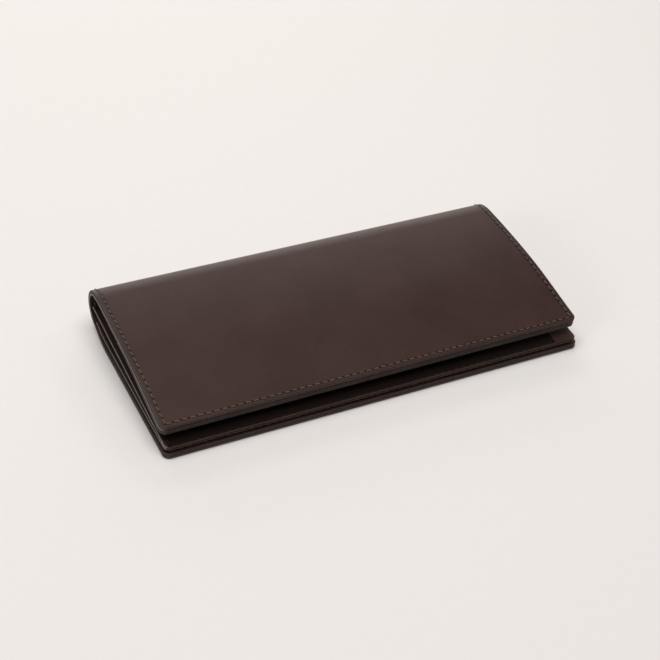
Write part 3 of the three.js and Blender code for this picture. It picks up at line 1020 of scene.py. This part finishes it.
def leaf_panels():
    """The leather round the zip window: the panel, the rear strip and a tab at each end."""
    window = (ZIP_V - ZIP_WINDOW / 2, ZIP_V + ZIP_WINDOW / 2)
    front = BLOCK_FRONT_Y - LEAF_Y
    start = (BLOCK_FRONT_Y, LEAF_Z + front * math.tan(LEAF_TILT))
    path = straight_path(start, LEAF_TILT, 90.0)  # longer than the panel
    add_sheet(
        "leaf_panel", "coin_pocket_panel", IN_LEAF, path, [FRAMED, INNER_EDGE], BLOCK_X,
        (0, window[0] - front), (0, LEAF_T), LEAF_BEVEL, corners=(LEAF_CORNER_R, LEAF_CORNER_R, 0, 0),
    )
    add_sheet(
        "leaf_strip", "coin_pocket_strip", IN_LEAF, LEAF, [INNER, INNER_EDGE], BLOCK_X,
        (window[1], LEAF_END), (0, LEAF_T), LEAF_BEVEL,
    )
    for name, x in (("left", (-BLOCK_HALF, -TAPE_HALF)), ("right", (TAPE_HALF, BLOCK_HALF))):
        add_sheet(
            f"zip_tab_{name}", f"zip_end_tab_{name}", IN_LEAF, LEAF, [INNER, INNER_EDGE], x,
            (window[0] + TAB_GAP, window[1] - TAB_GAP), (0, LEAF_T), TAB_BEVEL, step=1.0,
        )


def leaf_stitches():
    """Rows along the zip window, down the leaf's ends and along the block's front edge."""
    seam = Stitches(FINE_THREAD_R, FINE_SHADED_THREAD)
    edge = ZIP_WINDOW / 2 + ZIP_SEAM
    places, pitch = row_places(-TAPE_HALF - ZIP_SEAM_PAST, TAPE_HALF + ZIP_SEAM_PAST)
    for x in places:
        for v in (ZIP_V - edge, ZIP_V + edge):
            seam.add(LEAF, x, v, False, pitch, LEAF_T, 1)
            seam.add(LEAF, x, v, False, pitch, -GAP - TAPE_T, -1)
    places, pitch = row_places(LEAF_SEAM_START, LEAF_END - LEAF_SEAM_START)
    for v in places:
        for side in (-1, 1):
            x = side * (BLOCK_HALF - BLOCK_SEAM_INSET)
            seam.add(LEAF, x, v, True, pitch, LEAF_T, 1)
    settle(seam.make("seam_leaf"), *IN_LEAF)
    block = Stitches(FINE_THREAD_R, FINE_SHADED_THREAD)
    places, pitch = row_places(-BLOCK_HALF + BLOCK_SEAM_INSET, BLOCK_HALF - BLOCK_SEAM_INSET)
    for x in places:
        block.add(LEAF, x, BLOCK_SEAM_LEAF, False, pitch, LEAF_T, 1)
        block.add(BILL, x, BLOCK_SEAM_BILL, False, pitch, 0.0, -1)
    settle(block.make("seam_block"), *IN_LEAF)


def coin_bag():
    """The bag's cloth, with soft sags between its seams."""
    start, deep_at, end, deep = 3.0, 62.0, 75.4, 2.9
    side_fall = 3.0

    def under(v):
        return np.interp(v, [start, start + 0.6, deep_at, end - 0.7, end],
                         [-0.1, -0.45, -deep, -deep, -0.1])

    along = spread(start, end, 1.5, [start + 0.3, start + 0.6, end - 0.7, end - 0.3])
    across = np.linspace(-BAG_HALF, BAG_HALF, 81)
    verts = []
    for v in along:
        for skin, places in ((0, across), (1, across[::-1])):
            for x in places:
                edge = min(1.0, (BAG_HALF - abs(x)) / side_fall)
                sag = under(v) * (0.12 + 0.88 * math.sqrt(edge)) - 0.1
                ripple = 0.06 * math.sin(x * 0.21) * math.sin(v * 0.17)
                verts.append((x, v, sag + ripple * edge + BAG_T * skin))
    verts = np.array(verts)
    faces = section_faces(len(along), len(across))
    obj = make_mesh("coin_bag", LEAF.lay(verts), faces, verts[:, :2] * MM, [BAG_CLOTH])
    settle(obj, "coin_pocket_leaf", "bag_cloth", "coin_pocket_bag")


# -------- zip


def outline_solid(outline, levels):
    """Rings of one outline, each (height, share of its size), closed at both ends."""
    outline = np.array(outline, float)
    middle = outline.mean(0)
    verts = []
    for height, share in levels:
        ring = middle + (outline - middle) * share
        verts += [(x, y, height) for x, y in ring]
    count = len(outline)
    faces = ring_quads(len(levels), count, turned=True)
    faces.append(tuple(range(count - 1, -1, -1)))
    faces.append(tuple(range(len(verts) - count, len(verts))))
    return verts, faces


def merge(parts):
    """Several (verts, faces) pairs as one."""
    verts, faces = [], []
    for v, f in parts:
        base = len(verts)
        verts += list(v)
        faces += [tuple(base + i for i in face) for face in f]
    return verts, faces


def zip_object(name, verts, faces, material, x, lift=0.0):
    """Verts are (x, v, height above the leaf's underside) from the zip's middle line, at x."""
    flat = np.array(verts, float) + (x, ZIP_V, lift)
    obj = make_mesh(name, LEAF.lay(flat), faces, flat[:, :2] * MM, [material])
    obj.data.set_sharp_from_angle(angle=SHARP_ANGLE)
    return obj


def both_sides(points):
    """An outline from its half, mirrored in the first coordinate."""
    return [(-a, b) for a, b in points] + points[::-1]


def rounded_outline(half_x, half_y, radius, per_corner=5):
    points = []
    for cx, cy, start in ((1, -1, -90), (1, 1, 0), (-1, 1, 90), (-1, -1, 180)):
        for k in range(per_corner):
            a = math.radians(start + 90 * k / (per_corner - 1))
            x = cx * (half_x - radius) + radius * math.cos(a)
            points.append((x, cy * (half_y - radius) + radius * math.sin(a)))
    return points


def squared_oval(count, middle, half_x, half_y, powers):
    """An oval between an ellipse and a rectangle; half_y is a function of x."""
    points = []
    for k in range(count):
        a = 2 * math.pi * k / count
        c, s = math.cos(a), math.sin(a)
        x = middle + half_x * math.copysign(abs(c) ** powers[0], c)
        points.append((x, half_y(x) * math.copysign(abs(s) ** powers[1], s)))
    return points


def tooth(side):
    """One tooth: a body clamped on the tape and a rounded head that reaches past the middle."""
    half = [(0.55, 2.1), (0.55, 1.25), (0.36, 1.0), (0.36, 0.75), (0.5, 0.55), (0.42, 0.2), (0.2, -0.12)]
    outline = [(x, side * y) for x, y in both_sides(half)]
    if side > 0:
        outline.reverse()
    levels = [(-0.95, 0.8), (-0.82, 1.0), (0.2, 1.0), (0.34, 0.9), (0.4, 0.72)]
    return outline_solid(outline, levels)


def zip_tapes():
    """The two tapes with their rows of teeth, half a pitch apart."""
    for side, name in ((-1, "front"), (1, "rear")):
        ends = sorted((ZIP_V + side * TAPE_WIDTH[0], ZIP_V + side * TAPE_WIDTH[1]))
        add_sheet(
            f"tape_{name}", f"zip_tape_{name}", ("coin_pocket_leaf", "zip_tape"), LEAF,
            [TAPE_CLOTH, TAPE_CLOTH], (-TAPE_HALF, TAPE_HALF), ends, (-GAP - TAPE_T, -GAP), TAPE_BEVEL,
            step=1.0,
        )
        first = -ZIP_HALF + 0.5 + (TOOTH_PITCH / 2 if side > 0 else 0)
        verts, faces = tooth(side)
        places = np.arange(first, ZIP_HALF, TOOTH_PITCH)
        parts = [([(a + x, b, c) for a, b, c in verts], faces) for x in places]
        teeth = zip_object(f"teeth_{name}", *merge(parts), TEETH_BRASS, 0)
        settle(teeth, "coin_pocket_leaf", "zip_metal")


def zip_stops():
    stop = outline_solid(
        rounded_outline(0.8, 2.0, 0.5), [(-0.7, 0.9), (-0.5, 1.0), (0.45, 1.0), (0.6, 0.85)]
    )
    for side, name in ((-1, "left"), (1, "right")):
        obj = zip_object(f"stop_{name}", *stop, TEETH_BRASS, side * STOP_X)
        settle(obj, "coin_pocket_leaf", "zip_metal", f"zip_stop_{name}")


def slider_body():
    """Two plates held apart by a bridge, with flanges that guide the teeth, and a bail."""
    length = 9.0

    def half_width(x):
        return 4.1 - 0.5 * (0.5 - x / length)

    plate = squared_oval(40, 0.0, length / 2, half_width, (0.55, 0.6))
    top = [(0.62, 0.97), (0.7, 1.0), (1.1, 1.0), (1.24, 0.96), (1.3, 0.88)]
    low = [(-1.9, 0.88), (-1.84, 0.96), (-1.7, 1.0), (-1.28, 1.0), (-1.2, 0.97)]
    parts = [outline_solid(plate, top), outline_solid(plate, low)]
    for side in (-1, 1):
        rail = [(x, y + side * 3.65) for x, y in rounded_outline(3.4, 0.36, 0.3)]
        parts.append(outline_solid(rail, [(0.1, 0.95), (0.2, 1.0), (0.8, 1.0)]))
        parts.append(outline_solid(rail, [(-1.4, 1.0), (-0.8, 1.0), (-0.7, 0.95)]))
    parts.append(outline_solid(rounded_outline(1.9, 0.3, 0.28), [(-1.4, 1.0), (0.8, 1.0)]))
    parts.append(bail())
    obj = zip_object("slider", *merge(parts), BRASS, SLIDER_X)
    settle(obj, "zip_slider", "zip_metal", "zip_slider")


def bail():
    """The arch that holds the pull: a rounded bar bent over the slider's top."""
    turns = [math.pi * k / 24 for k in range(25)]
    path = [(-2.6 * math.cos(a), 1.15 + 2.15 * math.sin(a) ** 0.7) for a in turns]
    ring = rounded_outline(0.42, 0.35, 0.3, 4)
    way = np.gradient(np.array(path), axis=0)
    way /= np.linalg.norm(way, axis=1, keepdims=True)
    verts = [(x - wh * b, a, h + wx * b) for (x, h), (wx, wh) in zip(path, way) for a, b in ring]
    count = len(ring)
    faces = ring_quads(len(path), count)
    faces.append(tuple(range(count)))
    faces.append(tuple(range(len(verts) - 1, len(verts) - 1 - count, -1)))
    return verts, faces


def zip_pull():
    """A flat pull with a window, lying towards the left on the zip."""
    count, middle, half = 48, -7.3, 7.7

    def half_width(x):
        return 3.1 - 0.55 * max(0.0, (x - middle) / half)

    outer = np.array(squared_oval(count, middle, half, half_width, (0.5, 0.55)))
    inner = np.array(squared_oval(count, -2.4, 1.9, lambda x: 1.0, (0.6, 0.6)))
    section = both_sides([(0.22, 0.0), (0.36, 0.06), (0.4, 0.16), (0.4, 0.84), (0.36, 0.94), (0.22, 1.0)])
    verts = []
    for height, share in section:
        ring = outer + (inner - outer) * edge_share(share, outer, inner)[:, None]
        verts += [(x, y, height) for x, y in ring]
    faces = ring_quads(len(section), count, wrap=True)
    obj = zip_object("pull", verts, faces, BRASS, SLIDER_X, PIVOT_W)
    outward_faces(obj)
    settle(obj, "zip_pull", "zip_metal", "zip_pull")


def edge_share(share, outer, inner):
    """The bevel's share of the way in, kept to the same width all round."""
    reach = np.linalg.norm(inner - outer, axis=1)
    bevel, bevel_share = 0.3, 0.16
    if share <= bevel_share:
        return share / bevel_share * bevel / reach
    if share >= 1 - bevel_share:
        return 1 - (1 - share) / bevel_share * bevel / reach
    return np.full(len(outer), 0.5)


# -------- studio

# Angles in degrees, lengths in millimetres.
CAMERA = {"azimuth": -28.34, "elevation": 37.85, "roll": 4.29, "distance": 605.6,
          "right": -1.44, "up": 1.59, "target_y": 1.45, "lens": 76.3}


def camera_axes():
    a, e, r = (math.radians(CAMERA[k]) for k in ("azimuth", "elevation", "roll"))
    back = Vector((math.sin(a) * math.cos(e), -math.cos(a) * math.cos(e), math.sin(e)))
    right = (-back).cross(Vector((0, 0, 1))).normalized()
    up = right.cross(-back)
    rolled_right = math.cos(r) * right + math.sin(r) * up
    rolled_up = -math.sin(r) * right + math.cos(r) * up
    return rolled_right, rolled_up, back


def add_camera():
    right, up, back = camera_axes()
    data = bpy.data.cameras.new("camera")
    data.lens = CAMERA["lens"]
    data.sensor_width = 36.0
    data.clip_start = 0.01
    data.clip_end = 20.0
    obj = bpy.data.objects.new("camera", data)
    place = back * CAMERA["distance"] + right * CAMERA["right"] + up * CAMERA["up"]
    place.y += CAMERA["target_y"]
    obj.matrix_world = Matrix.Translation(place * MM) @ Matrix((right, up, back)).transposed().to_4x4()
    bpy.context.scene.collection.objects.link(obj)
    bpy.context.scene.camera = obj


def area_light(name, place, target, size, power, color):
    data = bpy.data.lights.new(name, "AREA")
    data.shape = "RECTANGLE"
    data.size, data.size_y = size
    data.energy = power
    data.color = color
    obj = bpy.data.objects.new(name, data)
    obj.location = place
    way = Vector(target) - Vector(place)
    obj.rotation_mode = "QUATERNION"
    obj.rotation_quaternion = way.to_track_quat("-Z", "Y")
    obj.visible_camera = False
    bpy.context.scene.collection.objects.link(obj)


def studio_world():
    """A dim room, seen directly as the same pale paper as the floor."""
    world = bpy.data.worlds.new("studio")
    world.use_nodes = True
    tree = world.node_tree
    room = tree.nodes["Background"]
    room.inputs["Color"].default_value = (1.0, 0.985, 0.97, 1)
    room.inputs["Strength"].default_value = 0.14
    backdrop = tree.nodes.new("ShaderNodeBackground")
    backdrop.inputs["Color"].default_value = FLOOR_COLOR
    backdrop.inputs["Strength"].default_value = 0.98
    seen = tree.nodes.new("ShaderNodeLightPath")
    mixed = tree.nodes.new("ShaderNodeMixShader")
    tree.links.new(seen.outputs["Is Camera Ray"], mixed.inputs[0])
    tree.links.new(room.outputs[0], mixed.inputs[1])
    tree.links.new(backdrop.outputs[0], mixed.inputs[2])
    tree.links.new(mixed.outputs[0], tree.nodes["World Output"].inputs["Surface"])
    return world


def add_studio():
    """Lights and the floor. Places and sizes are in metres, powers in watts."""
    bpy.context.scene.world = studio_world()
    bpy.context.scene.view_settings.view_transform = "Standard"
    area_light("key", (-0.06, 0.04, 1.3), (-0.04, 0.05, 0), (1.5, 0.8), 14.4, (1.0, 0.99, 0.98))
    area_light("side", (0.95, 0.12, 0.95), (0, 0, 0), (0.25, 0.35), 0.6, (1.0, 0.985, 0.97))
    area_light("fill", (-1.1, -0.3, 0.5), (-0.1, 0, 0), (0.5, 0.4), 2.5, (1.0, 0.98, 0.96))
    area_light("low", (0.35, 1.3, 0.3), (0, 0, 0), (1.3, 0.3), 4.6, (1.0, 0.91, 0.86))
    area_light("back", (0.3, 0.95, 0.66), (0, 0, 0), (1.2, 0.24), 2.2, (1.0, 0.97, 0.93))
    half = 1.2
    verts = [(-half, -half, 0), (half, -half, 0), (half, half, 0), (-half, half, 0)]
    floor = make_mesh("floor", verts, [(0, 1, 2, 3)], [v[:2] for v in verts], [floor_paper()])
    floor.location.z = -0.00005  # so that it and the lower cover are not in one plane


# -------- build

folding_sheet(
    "leather", 0.0, COVER_T, COVER_BEVEL, [LEATHER, EDGE], ("cover", "leather")
)
folding_sheet(
    "lining", LINING_D, LINING_D + LINING_T, LINING_BEVEL, [LINING, LINING_EDGE],
    ("lining", "lining"),
)
shell_stitches()
upper_pockets()
lower_pockets()
for gusset_side in (-1, 1):
    for gusset_half in ("lower", "upper"):
        gusset_flap(gusset_side, gusset_half)
leaf_panels()
leaf_stitches()
coin_bag()
zip_tapes()
zip_stops()
slider_body()
zip_pull()
add_camera()
add_studio()
